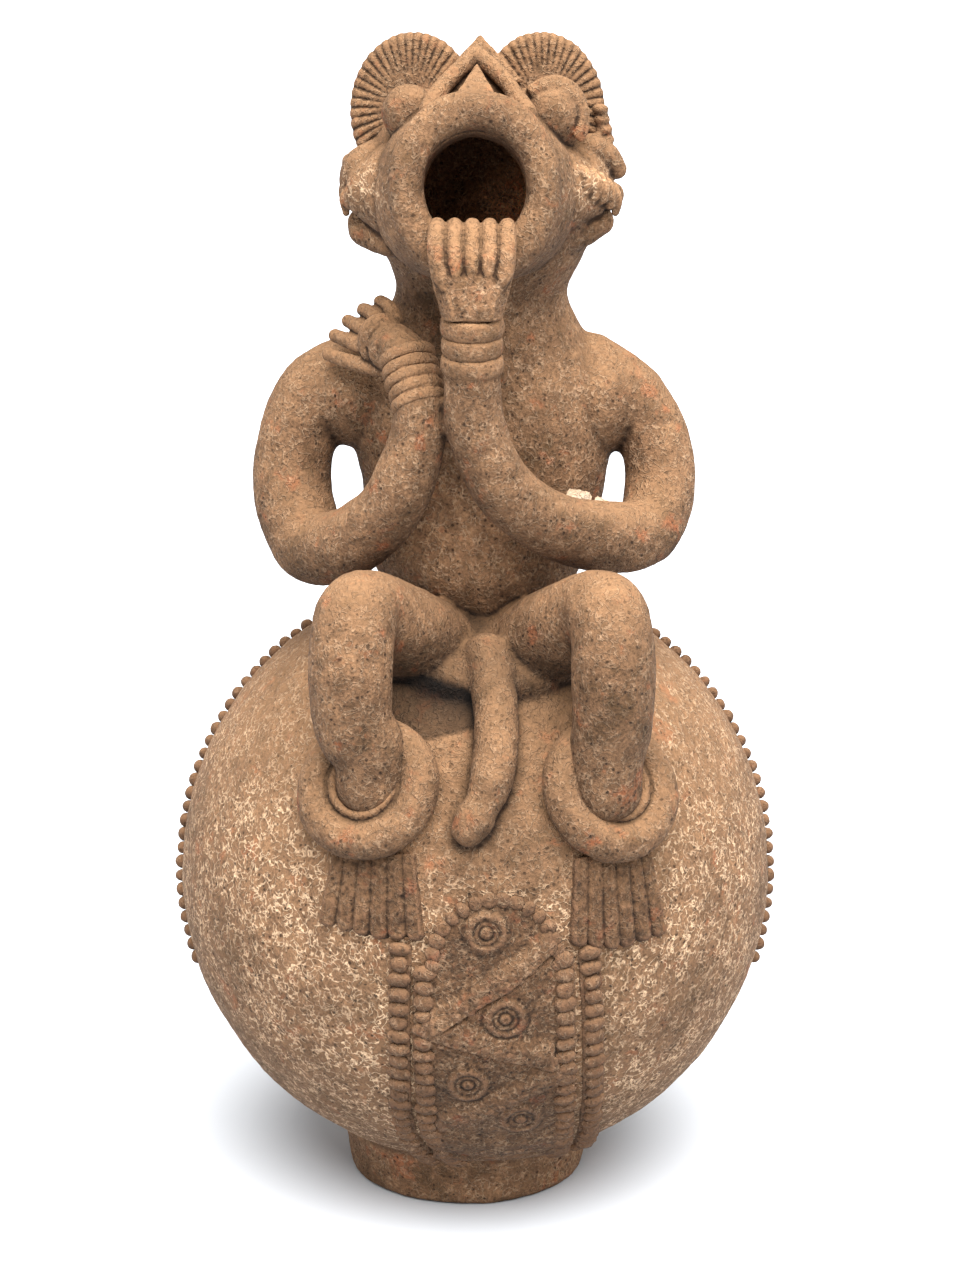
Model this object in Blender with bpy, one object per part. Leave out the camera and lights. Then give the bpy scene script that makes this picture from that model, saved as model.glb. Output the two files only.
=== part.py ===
"""Terracotta effigy vessel: a hollow round pot with a seated figure for its neck and mouth.

Every form is a closed shape laid over its neighbours. They are fused into one clay skin, thinned out,
hollowed through the open mouth and cut flat underneath. Metres, +Z up, the figure faces -Y.
"""
import math

import bmesh
import bpy
from mathutils import Matrix, Vector

# Pot
POT_RADIUS = 0.184
POT_CENTRE = Vector((0.0, 0.0, 0.200))
WALL = 0.010
FOOT_RADIUS = 0.0762
FOOT_INNER_RADIUS = 0.050
FOOT_HEIGHT = 0.040
FOOT_SHIFT = -0.0055

# Figure
NECK_HEIGHT = 0.567
NECK_RADIUS = 0.0515
MOUTH_CENTRE = Vector((0.000, -0.090, 0.643))
MOUTH_TILT = math.radians(14)
MOUTH_HOLE_RADIUS = 0.0297
MOUTH_OVAL = 1.08
LIP_RADIUS = 0.0100
LIMB_RADIUS = 0.0215
WRIST_RADIUS = 0.0160
BANGLE_RADIUS = 0.0042
FINGERS = 5

# Ears, eyes and crest
FAN_RADIUS = 0.0368
FAN_OVAL = 1.24
FAN_CENTRE = 0.678
FAN_SHIFT = -0.0005
FAN_FLUTES = 15
EYE_RADIUS = 0.0175

# Relief on the pot
ANKLET_RADIUS = 0.0330
ANKLET_TUBE = 0.0105
TOES = 6
RELIEF = 0.0035
STRAP_RADIUS = 0.0055
STRAP_TOP = 0.212
STRAP_FOOT = 0.036
PANEL_CENTRE_X = 0.0120
PANEL_HALF_WIDTH = 0.0350
PANEL_TOP = 0.240
PANEL_FOOT = 0.052
BEAD_BAND_RADIUS = 0.0056
BEAD_BAND_DEPTH = 0.0030

# Clay skin
SKIN_GRAIN = 0.0026
SKIN_THINNING = 0.021
HOLLOW_GRAIN = 0.006
HOLLOW_THINNING = 0.035
HAND_GRAIN = 0.0015
HAND_THINNING = 0.10
CLAY_COLOUR = (0.32, 0.19, 0.12, 1.0)
CLAY_ROUGHNESS = 0.9


def smooth_path(stations, steps=6):
    """Points and radii on a smooth curve through (x, y, z, radius) stations."""
    ends = [stations[0], *stations, stations[-1]]
    points = []
    for before, start, stop, after in zip(ends, ends[1:], ends[2:], ends[3:]):
        for step in range(steps):
            t = step / steps
            points.append([
                0.5 * (2 * q + (r - p) * t + (2 * p - 5 * q + 4 * r - s) * t * t
                       + (3 * q - p - 3 * r + s) * t ** 3)
                for p, q, r, s in zip(before, start, stop, after)
            ])
    points.append(list(stations[-1]))
    return [(Vector(p[:3]), p[3]) for p in points]


def skin(clay, rings, closed=False):
    """Faces between rings of points, with a flat cap at each open end."""
    loops = [[clay.verts.new(point) for point in ring] for ring in rings]
    sides = len(loops[0])
    pairs = list(zip(loops, loops[1:]))
    if closed:
        pairs.append((loops[-1], loops[0]))
    for low, high in pairs:
        for i in range(sides):
            j = (i + 1) % sides
            clay.faces.new((low[i], low[j], high[j], high[i]))
    if not closed:
        clay.faces.new(loops[0][::-1])
        clay.faces.new(loops[-1])


def blob(clay, centre, radii, fineness=3):
    """An ellipsoid."""
    place = Matrix.Translation(centre) @ Matrix.Diagonal((*radii, 1.0))
    bmesh.ops.create_icosphere(clay, subdivisions=fineness, radius=1.0, matrix=place)


def limb(clay, stations, sides=14):
    """A round-ended tube of changing radius through (x, y, z, radius) stations."""
    path = smooth_path(stations)
    rings = []
    across = Vector((0.0, 0.0, 1.0))
    for i, (point, radius) in enumerate(path):
        along = (path[min(i + 1, len(path) - 1)][0] - path[max(i - 1, 0)][0]).normalized()
        if abs(across.dot(along)) > 0.95:
            across = Vector((1.0, 0.0, 0.0))
        across = (across - along * across.dot(along)).normalized()
        beside = along.cross(across)
        rings.append([
            point + radius * (math.cos(a) * across + math.sin(a) * beside)
            for a in (math.tau * k / sides for k in range(sides))
        ])
    skin(clay, rings)
    for point, radius in (path[0], path[-1]):
        blob(clay, point, (radius, radius, radius))


def frame_facing(axis, centre):
    """A frame at centre whose +Z runs along axis and whose +Y stays as upright as it can."""
    turn = Vector(axis).to_track_quat("Z", "Y").to_matrix().to_4x4()
    return Matrix.Translation(centre) @ turn


def ring(clay, frame, major, minor, oval=1.0, around=28, sides=10):
    """A torus lying in the frame's XY plane, stretched along its Y by oval."""
    rings = []
    for a in (math.tau * k / around for k in range(around)):
        out = Vector((math.cos(a), math.sin(a) * oval, 0.0))
        rings.append([
            frame @ (out * major + out.normalized() * minor * math.cos(b)
                     + Vector((0.0, 0.0, minor * math.sin(b))))
            for b in (math.tau * k / sides for k in range(sides))
        ])
    skin(clay, rings, closed=True)


def stacked(clay, sections, sides=32, steps=5):
    """A trunk through oval sections: (x, y, z, half width, half depth)."""
    wide = smooth_path([(x, y, z, rx) for x, y, z, rx, ry in sections], steps)
    deep = smooth_path([(x, y, z, ry) for x, y, z, rx, ry in sections], steps)
    skin(clay, [
        [p + Vector((rx * math.cos(a), ry * math.sin(a), 0.0))
         for a in (math.tau * k / sides for k in range(sides))]
        for (p, rx), (_, ry) in zip(wide, deep)
    ])


def on_pot(x, z, lift=0.0):
    """The point on the pot's front wall at x and z, raised by lift."""
    across = x - POT_CENTRE.x
    up = z - POT_CENTRE.z
    depth = math.sqrt(max(POT_RADIUS ** 2 - across ** 2 - up ** 2, 0.0))
    out = Vector((across, -depth, up))
    return POT_CENTRE + out * (1.0 + lift / POT_RADIUS)


def pot_frame(x, z, lift=0.0):
    """A frame on the pot's front wall with its +Z straight out."""
    point = on_pot(x, z, lift)
    return frame_facing(point - POT_CENTRE, point)


def pot_rib(clay, places, radius, lift=0.0):
    """A round rib along (x, z) places on the pot's front wall."""
    limb(clay, [(*on_pot(x, z, lift), radius) for x, z in places], sides=10)


def pot(clay):
    blob(clay, POT_CENTRE, (POT_RADIUS, POT_RADIUS, POT_RADIUS), fineness=5)
    rings = []
    profile = (
        (FOOT_INNER_RADIUS, -0.006),
        (FOOT_RADIUS - 0.003, -0.006),
        (FOOT_RADIUS - 0.002, 0.004),
        (FOOT_RADIUS, 0.020),
        (FOOT_RADIUS + 0.003, FOOT_HEIGHT - 0.008),
        (FOOT_RADIUS + 0.002, FOOT_HEIGHT),
        (FOOT_INNER_RADIUS, FOOT_HEIGHT),
    )
    for a in (math.tau * k / 64 for k in range(64)):
        rings.append([Vector((r * math.cos(a) + FOOT_SHIFT, r * math.sin(a), z)) for r, z in profile])
    skin(clay, rings, closed=True)


def torso(clay):
    stacked(clay, (
        (0.004, 0.004, 0.352, 0.052, 0.050),
        (0.003, -0.004, 0.376, 0.046, 0.053),
        (0.002, -0.004, 0.403, 0.066, 0.061),
        (0.005, 0.000, 0.448, 0.074, 0.061),
        (0.003, 0.004, 0.490, 0.081, 0.062),
        (0.002, 0.006, 0.520, 0.079, 0.057),
        (0.002, 0.003, 0.542, 0.064, 0.052),
        (0.004, 0.000, NECK_HEIGHT, NECK_RADIUS, 0.050),
        (0.006, -0.006, 0.590, 0.059, 0.056),
        (0.004, -0.012, 0.622, 0.071, 0.062),
        (0.002, -0.014, 0.660, 0.062, 0.054),
        (0.002, -0.014, 0.690, 0.034, 0.032),
    ))
    blob(clay, (0.003, -0.016, 0.406), (0.062, 0.051, 0.036))
    for x, z in ((-0.070, 0.505), (0.070, 0.500)):
        blob(clay, (x, 0.002, z), (0.036, 0.034, 0.035))


def head(clay):
    facing = Vector((0.0, -math.cos(MOUTH_TILT), math.sin(MOUTH_TILT)))
    lip = frame_facing(facing, MOUTH_CENTRE)
    lip_middle = MOUTH_HOLE_RADIUS + LIP_RADIUS
    ring(clay, lip, lip_middle, LIP_RADIUS, MOUTH_OVAL, around=40, sides=12)
    funnel = (
        (-0.090, 0.040, 0.044),
        (-0.060, 0.058, 0.052),
        (-0.030, 0.058, 0.050),
        (-0.008, 0.046, 0.048),
        (0.002, 0.042, 0.045),
    )
    sides = 32
    skin(clay, [
        [lip @ Vector((rx * math.cos(a), ry * math.sin(a), z))
         for a in (math.tau * k / sides for k in range(sides))]
        for z, rx, ry in funnel
    ])
    # Brow ridge in two slopes up to a peak, with a smaller three-cornered nose in front of it
    limb(clay, ((-0.032, -0.066, 0.682, 0.007), (-0.014, -0.048, 0.702, 0.007),
                (0.003, -0.034, 0.714, 0.0065)), sides=8)
    limb(clay, ((0.038, -0.066, 0.680, 0.007), (0.020, -0.048, 0.700, 0.007),
                (0.003, -0.034, 0.714, 0.0065)), sides=8)
    limb(clay, ((0.003, -0.072, 0.684, 0.015), (0.003, -0.052, 0.696, 0.009),
                (0.002, -0.040, 0.708, 0.004)), sides=8)
    limb(clay, ((0.003, -0.040, 0.690, 0.024), (0.003, -0.020, 0.706, 0.013),
                (0.004, -0.014, 0.719, 0.005)), sides=8)
    for side, x in ((-1, -0.0365), (1, 0.0405)):
        blob(clay, (x, -0.046, 0.676), (EYE_RADIUS, EYE_RADIUS, EYE_RADIUS * 1.05))
        ear_fan(clay, Vector((x + FAN_SHIFT, -0.016, FAN_CENTRE)), side)
        ear(clay, side)


def ear_fan(clay, centre, side):
    """A fluted half disc standing up behind the eye."""
    facing = Vector((side * 0.10, -1.0, 0.25))
    frame = frame_facing(facing, centre)
    sides = 36
    edge = [(math.cos(a), math.sin(a)) for a in (math.tau * k / sides for k in range(sides))]
    skin(clay, [
        [frame @ Vector((x * FAN_RADIUS, y * FAN_RADIUS * FAN_OVAL, z)) for x, y in edge]
        for z in (-0.008, 0.000)
    ])
    for k in range(FAN_FLUTES):
        a = math.radians(-25 + 230 * k / (FAN_FLUTES - 1))
        out = Vector((math.cos(a), math.sin(a) * FAN_OVAL, 0.0))
        stations = [(*(frame @ (out * r)), size)
                    for r, size in ((0.014, 0.0018), (FAN_RADIUS - 0.003, 0.0034))]
        limb(clay, stations, sides=8)


def ear(clay, side):
    """The knuckled ear at the side of the cheek: two lobes and a row of finger-like ribs."""
    cheek = 0.060 if side < 0 else 0.068
    blob(clay, (side * cheek, -0.026, 0.630), (0.021, 0.022, 0.021))
    blob(clay, (side * (cheek + 0.002), -0.018, 0.604), (0.012, 0.014, 0.009))
    blob(clay, (side * (cheek + 0.010), -0.012, 0.648), (0.012, 0.010, 0.010))
    blob(clay, (side * (cheek + 0.006), -0.014, 0.665), (0.007, 0.007, 0.007))
    for k in range(4):
        x = side * (cheek - 0.004 + 0.0055 * k)
        z = 0.650 - 0.005 * k
        stations = ((x, -0.046 + 0.003 * k, z, 0.0042), (x + side * 0.005, -0.026, z - 0.012, 0.0042))
        limb(clay, stations, sides=8)


def arms(clay):
    limb(clay, (
        (-0.070, 0.004, 0.514, 0.026), (-0.096, 0.000, 0.503, 0.0248),
        (-0.1095, -0.006, 0.470, 0.0240), (-0.1095, -0.018, 0.440, 0.0240),
        (-0.098, -0.040, 0.418, 0.0225), (-0.075, -0.064, 0.427, 0.0215),
        (-0.051, -0.082, 0.451, 0.0195), (-0.036, -0.088, 0.486, 0.0172),
        (-0.031, -0.088, 0.516, 0.0150), (-0.037, -0.082, 0.536, 0.0140),
    ))
    limb(clay, (
        (0.068, 0.004, 0.516, 0.025), (0.094, 0.000, 0.501, 0.0220),
        (0.1095, -0.006, 0.474, LIMB_RADIUS), (0.1115, -0.018, 0.446, LIMB_RADIUS),
        (0.101, -0.040, 0.427, 0.0210), (0.073, -0.062, 0.430, 0.0212),
        (0.043, -0.082, 0.443, 0.0195), (0.016, -0.096, 0.469, 0.0182),
        (0.001, -0.102, 0.504, 0.0175), (-0.0015, -0.106, 0.538, 0.0170),
        (-0.0015, -0.110, 0.572, WRIST_RADIUS),
    ))
    for k in range(4):
        height = 0.540 + 0.0103 * k
        frame = frame_facing((0.0, -0.10, 1.0), (-0.0015, -0.1062 - 0.001 * k, height))
        ring(clay, frame, WRIST_RADIUS - 0.0012, BANGLE_RADIUS, around=20, sides=8)
    for k in range(5):
        t = k / 4
        centre = Vector((-0.0325, -0.089, 0.515)).lerp(Vector((-0.0435, -0.079, 0.548)), t)
        frame = frame_facing((-0.30, 0.25, 1.0), centre)
        ring(clay, frame, 0.0150 - 0.001 * t, 0.0036, around=20, sides=8)


def raised_hand(clay):
    """A palm under the chin whose fingers hook over the lower lip into the mouth."""
    limb(clay, ((-0.0015, -0.110, 0.568, 0.0140), (-0.0015, -0.113, 0.594, 0.0175)), sides=12)
    for k in range(FINGERS):
        spread = (k - (FINGERS - 1) / 2) * 0.0098
        limb(clay, (
            (spread * 0.8 - 0.001, -0.113, 0.590, 0.0082), (spread * 0.95 - 0.001, -0.115, 0.606, 0.0068),
            (spread - 0.001, -0.110, 0.620, 0.0056), (spread - 0.001, -0.098, 0.624, 0.0050),
        ), sides=10)


def resting_hand(clay):
    """A hand laid on the shoulder with its fingers spread."""
    palm = Vector((-0.054, -0.072, 0.549))
    blob(clay, palm, (0.020, 0.014, 0.017))
    tips = ((-0.079, -0.052, 0.538), (-0.080, -0.050, 0.546), (-0.075, -0.048, 0.556),
            (-0.066, -0.048, 0.565), (-0.053, -0.050, 0.572))
    for tip in map(Vector, tips):
        root = palm.lerp(tip, 0.35)
        knuckle = root.lerp(tip, 0.6) + Vector((0.0, -0.006, 0.002))
        limb(clay, ((*root, 0.0062), (*knuckle, 0.0060), (*tip, 0.0052)), sides=8)


def legs(clay):
    for side, knee, ankle in ((-1, -0.0710, -0.0605), (1, 0.0795, 0.0765)):
        limb(clay, (
            (side * 0.022 + 0.004, -0.060, 0.352, 0.028), (side * 0.040 + 0.004, -0.086, 0.376, 0.0260),
            (knee * 0.86, -0.113, 0.397, 0.0235), (knee * 0.97, -0.132, 0.3995, 0.0232),
            (knee * 1.01, -0.143, 0.376, 0.0232), (knee, -0.146, 0.340, 0.0225),
            (ankle, -0.148, 0.305, 0.0205), (ankle, -0.150, 0.285, 0.0200),
        ))
        anklet = pot_frame(ankle, 0.286, 0.006)
        ring(clay, anklet, ANKLET_RADIUS, ANKLET_TUBE, around=32, sides=12)
        ring(clay, pot_frame(ankle, 0.284, 0.008), 0.0200, 0.0042, around=24, sides=8)
        for k in range(TOES):
            t = k / (TOES - 1) - 0.5
            places = ((ankle + t * 0.040, 0.262), (ankle + t * 0.048, 0.236), (ankle + t * 0.053, 0.217))
            pot_rib(clay, places, 0.0064, RELIEF * 0.6)
    # Flesh between the thighs down to the pot's shoulder
    blob(clay, (0.005, -0.062, 0.353), (0.044, 0.042, 0.024))
    limb(clay, (
        (*on_pot(0.007, 0.368, 0.006), 0.0120), (*on_pot(0.015, 0.345, 0.009), 0.0112),
        (*on_pot(0.0165, 0.325, 0.010), 0.0110), (*on_pot(0.009, 0.303, 0.009), 0.0110),
        (*on_pot(-0.004, 0.281, 0.007), 0.0088),
    ))


def panel(clay):
    """A low arched plate on the pot's front wall with a raised border, flanked by strap ribs."""
    rows = 16
    columns = 8
    arch = PANEL_TOP - PANEL_HALF_WIDTH
    outline = []
    for row in range(rows + 1):
        z = PANEL_FOOT + (PANEL_TOP - 0.0004 - PANEL_FOOT) * row / rows
        half = PANEL_HALF_WIDTH
        if z > arch:
            half = math.sqrt(max(PANEL_HALF_WIDTH ** 2 - (z - arch) ** 2, 1e-6))
        outline.append((z, half))
    rings = []
    for z, half in outline:
        across = [PANEL_CENTRE_X + half * (2 * k / columns - 1) for k in range(columns + 1)]
        outer = [on_pot(x, z, RELIEF * 0.5) for x in across]
        inner = [on_pot(x, z, -WALL * 0.5) for x in reversed(across)]
        rings.append(outer + inner)
    skin(clay, rings)
    turns = [math.pi * k / 12 for k in range(13)]
    border = [(PANEL_CENTRE_X - PANEL_HALF_WIDTH * math.cos(a), arch + PANEL_HALF_WIDTH * math.sin(a))
              for a in turns]
    pot_rib(clay, border, 0.0050, RELIEF * 0.4)
    bands = (((0.050, 0.204), (-0.024, 0.160)), ((-0.024, 0.156), (0.044, 0.137)),
             ((0.054, 0.134), (-0.020, 0.094)), ((-0.014, 0.074), (0.048, 0.070)))
    for start, stop in bands:
        middle = ((start[0] + stop[0]) / 2, (start[1] + stop[1]) / 2)
        pot_rib(clay, (start, middle, stop), 0.0040, RELIEF * 0.4)
    for x, z in ((0.009, 0.222), (0.020, 0.169), (-0.004, 0.123), (0.027, 0.093)):
        ring(clay, pot_frame(x, z, RELIEF * 0.5), 0.0095, 0.0032, around=20, sides=8)
        blob(clay, on_pot(x, z, RELIEF * 0.5), (0.0042, 0.0042, 0.0042))
    for x in (-0.044, -0.030, 0.054, 0.070):
        steps = [STRAP_TOP + (STRAP_FOOT - STRAP_TOP) * k / 6 for k in range(7)]
        pot_rib(clay, [(x, z) for z in steps], STRAP_RADIUS, RELIEF * 0.5)


def bead_bands(clay):
    """A strap of beads, here a plain rib, slanting down each side of the pot from the figure's back."""
    for side in (-1, 1):
        stations = []
        for k in range(11):
            up = 0.160 - 0.250 * k / 10
            back = 0.32 * up - 0.006
            out = math.sqrt((POT_RADIUS - BEAD_BAND_DEPTH) ** 2 - up ** 2 - back ** 2)
            stations.append((side * out, back, POT_CENTRE.z + up, BEAD_BAND_RADIUS))
        limb(clay, stations, sides=8)


def make_clay():
    """All the forms in one mesh of overlapping closed shapes."""
    clay = bmesh.new()
    for form in (pot, torso, head, arms, resting_hand, legs, panel, bead_bands):
        form(clay)
    bmesh.ops.recalc_face_normals(clay, faces=clay.faces)
    return clay


def make_hollow():
    """The room inside: pot, trunk, head and the open mouth."""
    hollow = bmesh.new()
    radius = POT_RADIUS - WALL
    blob(hollow, POT_CENTRE, (radius, radius, radius), fineness=4)
    limb(hollow, (
        (0.003, -0.002, 0.345, 0.042), (0.002, -0.002, 0.390, 0.040), (0.004, 0.002, 0.430, 0.048),
        (0.003, 0.004, 0.480, 0.052), (0.003, 0.003, 0.525, 0.046), (0.004, 0.000, 0.565, 0.040),
        (0.003, -0.008, 0.600, 0.044), (0.002, -0.012, 0.632, 0.047),
    ), sides=20)
    facing = Vector((0.0, -math.cos(MOUTH_TILT), math.sin(MOUTH_TILT)))
    lip = frame_facing(facing, MOUTH_CENTRE)
    sides = 24
    skin(hollow, [
        [lip @ Vector((MOUTH_HOLE_RADIUS * math.cos(a), MOUTH_HOLE_RADIUS * MOUTH_OVAL * math.sin(a), z))
         for a in (math.tau * k / sides for k in range(sides))]
        for z in (-0.055, 0.030)
    ])
    bmesh.ops.recalc_face_normals(hollow, faces=hollow.faces)
    return hollow


def add_object(name, shape):
    mesh = bpy.data.meshes.new(name)
    shape.to_mesh(mesh)
    shape.free()
    made = bpy.data.objects.new(name, mesh)
    bpy.context.scene.collection.objects.link(made)
    return made


def fuse(target, grain, thinning):
    """Turn overlapping closed shapes into one skin, softened and thinned."""
    remesh = target.modifiers.new("fuse", "REMESH")
    remesh.mode = "VOXEL"
    remesh.voxel_size = grain
    relax = target.modifiers.new("relax", "SMOOTH")
    relax.factor = 0.5
    relax.iterations = 2
    thin = target.modifiers.new("thin", "DECIMATE")
    thin.ratio = thinning


def combine(target, helper, operation):
    """A Boolean of the helper on the target; the helper itself isn't part of the vessel."""
    boolean = target.modifiers.new(helper.name, "BOOLEAN")
    boolean.operation = operation
    boolean.solver = "EXACT"
    boolean.object = helper
    helper.hide_render = True
    helper.display_type = "WIRE"


def terracotta():
    material = bpy.data.materials.new("terracotta")
    material.use_nodes = True
    shader = material.node_tree.nodes["Principled BSDF"]
    shader.inputs["Base Color"].default_value = CLAY_COLOUR
    shader.inputs["Roughness"].default_value = CLAY_ROUGHNESS
    shader.inputs["Metallic"].default_value = 0.0
    return material


def build():
    for old in list(bpy.data.objects):
        bpy.data.objects.remove(old, do_unlink=True)

    vessel = add_object("effigy_vessel", make_clay())
    vessel.data.materials.append(terracotta())
    fuse(vessel, SKIN_GRAIN, SKIN_THINNING)

    hollow = add_object("hollow", make_hollow())
    fuse(hollow, HOLLOW_GRAIN, HOLLOW_THINNING)
    combine(vessel, hollow, "DIFFERENCE")

    hand_shape = bmesh.new()
    raised_hand(hand_shape)
    bmesh.ops.recalc_face_normals(hand_shape, faces=hand_shape.faces)
    hand = add_object("raised_hand", hand_shape)
    fuse(hand, HAND_GRAIN, HAND_THINNING)
    combine(vessel, hand, "UNION")

    ground = bmesh.new()
    bmesh.ops.create_cube(ground, size=0.4, matrix=Matrix.Translation((0.0, 0.0, -0.2)))
    combine(vessel, add_object("ground", ground), "DIFFERENCE")


build()
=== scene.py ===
import math
import random

import bmesh
import bpy
import numpy as np
from mathutils import Matrix, Vector


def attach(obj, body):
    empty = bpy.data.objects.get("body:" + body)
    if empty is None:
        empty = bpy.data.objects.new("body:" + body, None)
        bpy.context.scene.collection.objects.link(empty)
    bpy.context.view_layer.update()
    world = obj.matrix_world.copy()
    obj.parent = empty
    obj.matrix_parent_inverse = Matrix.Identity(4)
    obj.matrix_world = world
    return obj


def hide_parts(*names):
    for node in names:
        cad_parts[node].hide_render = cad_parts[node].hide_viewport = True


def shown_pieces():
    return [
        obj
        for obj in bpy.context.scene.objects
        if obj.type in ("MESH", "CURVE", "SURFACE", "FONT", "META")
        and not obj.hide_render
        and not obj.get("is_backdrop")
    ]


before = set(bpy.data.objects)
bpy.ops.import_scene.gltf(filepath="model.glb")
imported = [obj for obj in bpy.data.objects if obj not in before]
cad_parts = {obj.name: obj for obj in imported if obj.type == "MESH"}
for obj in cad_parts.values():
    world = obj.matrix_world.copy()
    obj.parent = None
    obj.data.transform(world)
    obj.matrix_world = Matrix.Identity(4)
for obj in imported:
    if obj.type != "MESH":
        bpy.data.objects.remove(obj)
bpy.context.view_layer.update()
for startupName in ("Cube", "Light", "Camera"):
    if startupName in bpy.data.objects:
        bpy.data.objects.remove(bpy.data.objects[startupName], do_unlink=True)

bodyName = "root"
nodeName = "effigy_vessel"

# Metres throughout; the figure faces -Y and +X is to the viewer's right
pot = {
    "radius": 0.184,
    "centre": Vector((0.0, 0.0, 0.2)),
    "wall": 0.01,
    "footRadius": 0.0762,
    "footInner": 0.05,
    "footHeight": 0.04,
    "footShift": -0.0055,
}
mouth = {
    "centre": Vector((0.0, -0.09, 0.643)),
    "tilt": math.radians(14),
    "hole": (0.03, 0.0318),
    "lip": (0.0497, 0.0555),
}


# shaping
def turns(count):
    return [math.tau * k / count for k in range(count)]


def ellipse(rx, ry, z, count, x=0.0, y=0.0):
    return [Vector((x + rx * math.cos(a), y + ry * math.sin(a), z)) for a in turns(count)]


def smoothPath(stations, steps=8):
    # Catmull-Rom curve through rows of numbers, such as a point and a radius
    rows = [np.array(row, float) for row in stations]
    rows = [rows[0], *rows, rows[-1]]
    found = []
    for p, q, r, s in zip(rows, rows[1:], rows[2:], rows[3:]):
        for step in range(steps):
            t = step / steps
            found.append(0.5 * (2 * q + (r - p) * t + (2 * p - 5 * q + 4 * r - s) * t * t
                                + (3 * q - p - 3 * r + s) * t ** 3))
    found.append(rows[-1])
    return found


def skinRings(shape, rings, closed=False):
    # quads from each ring to the next, then two end faces unless the rings close on themselves
    loops = [[shape.verts.new(point) for point in ring] for ring in rings]
    pairs = list(zip(loops, loops[1:]))
    if closed:
        pairs.append((loops[-1], loops[0]))
    sides = len(loops[0])
    for low, high in pairs:
        for i in range(sides):
            j = (i + 1) % sides
            shape.faces.new((low[i], low[j], high[j], high[i]))
    if not closed:
        shape.faces.new(loops[0][::-1])
        shape.faces.new(loops[-1])


def addBlob(shape, centre, radii, fineness=4):
    place = Matrix.Translation(centre) @ Matrix.Diagonal((*radii, 1.0))
    bmesh.ops.create_icosphere(shape, subdivisions=fineness, radius=1.0, matrix=place)


def addLimb(shape, stations, sides=24):
    # a round-ended roll of clay through (x, y, z, radius) stations
    path = [(Vector(row[:3]), float(row[3])) for row in smoothPath(stations)]
    across = Vector((0.0, 0.0, 1.0))
    rings = []
    for i, (point, radius) in enumerate(path):
        along = (path[min(i + 1, len(path) - 1)][0] - path[max(i - 1, 0)][0]).normalized()
        if abs(across.dot(along)) > 0.95:
            across = Vector((1.0, 0.0, 0.0))
        across = (across - along * across.dot(along)).normalized()
        beside = along.cross(across)
        rings.append([point + radius * (math.cos(a) * across + math.sin(a) * beside) for a in turns(sides)])
    skinRings(shape, rings)
    for point, radius in (path[0], path[-1]):
        addBlob(shape, point, (radius, radius, radius), fineness=3)


def facingFrame(axis, centre):
    turn = Vector(axis).to_track_quat("Z", "Y").to_matrix().to_4x4()
    return Matrix.Translation(centre) @ turn


def addRing(shape, place, major, minor, around=72, sides=20):
    rings = []
    for a in turns(around):
        out = Vector((math.cos(a), math.sin(a), 0.0))
        rings.append([place @ (out * major + out.normalized() * minor * math.cos(b)
                               + Vector((0.0, 0.0, minor * math.sin(b))))
                      for b in turns(sides)])
    skinRings(shape, rings, closed=True)


def addWedge(shape, corners):
    # the tight skin round a few points
    made = bmesh.ops.convex_hull(shape, input=[shape.verts.new(corner) for corner in corners])
    spare = {item for item in made["geom_interior"] + made["geom_unused"]
             if isinstance(item, bmesh.types.BMVert)}
    bmesh.ops.delete(shape, geom=list(spare), context="VERTS")


def addTrunk(shape, sections, sides=64):
    # a skin over level oval sections, given as (x, y, z, half width, half depth)
    skinRings(shape, [ellipse(rx, ry, z, sides, x, y) for x, y, z, rx, ry in smoothPath(sections)])


def onPot(x, z, lift=0.0):
    # the point on the pot's front wall at x and z, raised by lift
    up = z - pot["centre"].z
    depth = math.sqrt(max(pot["radius"] ** 2 - x ** 2 - up ** 2, 0.0))
    out = Vector((x, -depth, up))
    return pot["centre"] + out * (1.0 + lift / pot["radius"])


def potFrame(x, z, lift=0.0):
    point = onPot(x, z, lift)
    return facingFrame(point - pot["centre"], point)


def linkObject(name, data):
    made = bpy.data.objects.new(name, data)
    bpy.context.scene.collection.objects.link(made)
    return made


def newObject(name, shape):
    bmesh.ops.recalc_face_normals(shape, faces=shape.faces)
    mesh = bpy.data.meshes.new(name)
    shape.to_mesh(mesh)
    shape.free()
    return linkObject(name, mesh)


lumpTextures = {}


def fuseClay(made, settings):
    # overlapping closed shapes become one skin, rubbed smooth, then lumpy as hand-pressed clay is
    if settings["grain"]:
        remesh = made.modifiers.new("fuse", "REMESH")
        remesh.mode = "VOXEL"
        remesh.voxel_size = settings["grain"]
        rub = made.modifiers.new("rub", "SMOOTH")
        rub.factor = 0.5
        rub.iterations = settings["relax"]
    for size, height in settings["lumps"]:
        if size not in lumpTextures:
            texture = bpy.data.textures.new(f"lumps{len(lumpTextures)}", "CLOUDS")
            texture.noise_scale = size
            texture.noise_depth = 2
            lumpTextures[size] = texture
        press = made.modifiers.new("press", "DISPLACE")
        press.texture = lumpTextures[size]
        press.texture_coords = "LOCAL"
        press.strength = height
        press.mid_level = 0.5


def combine(target, helper, operation):
    boolean = target.modifiers.new("combine", "BOOLEAN")
    boolean.operation = operation
    boolean.solver = "MANIFOLD"
    boolean.object = helper


def settle(made):
    # the evaluated shape as a plain mesh, with no modifier left
    bpy.context.view_layer.update()
    graph = bpy.context.evaluated_depsgraph_get()
    mesh = bpy.data.meshes.new_from_object(made.evaluated_get(graph), depsgraph=graph)
    made.modifiers.clear()
    old = made.data
    made.data = mesh
    bpy.data.meshes.remove(old)
    return made


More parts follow.
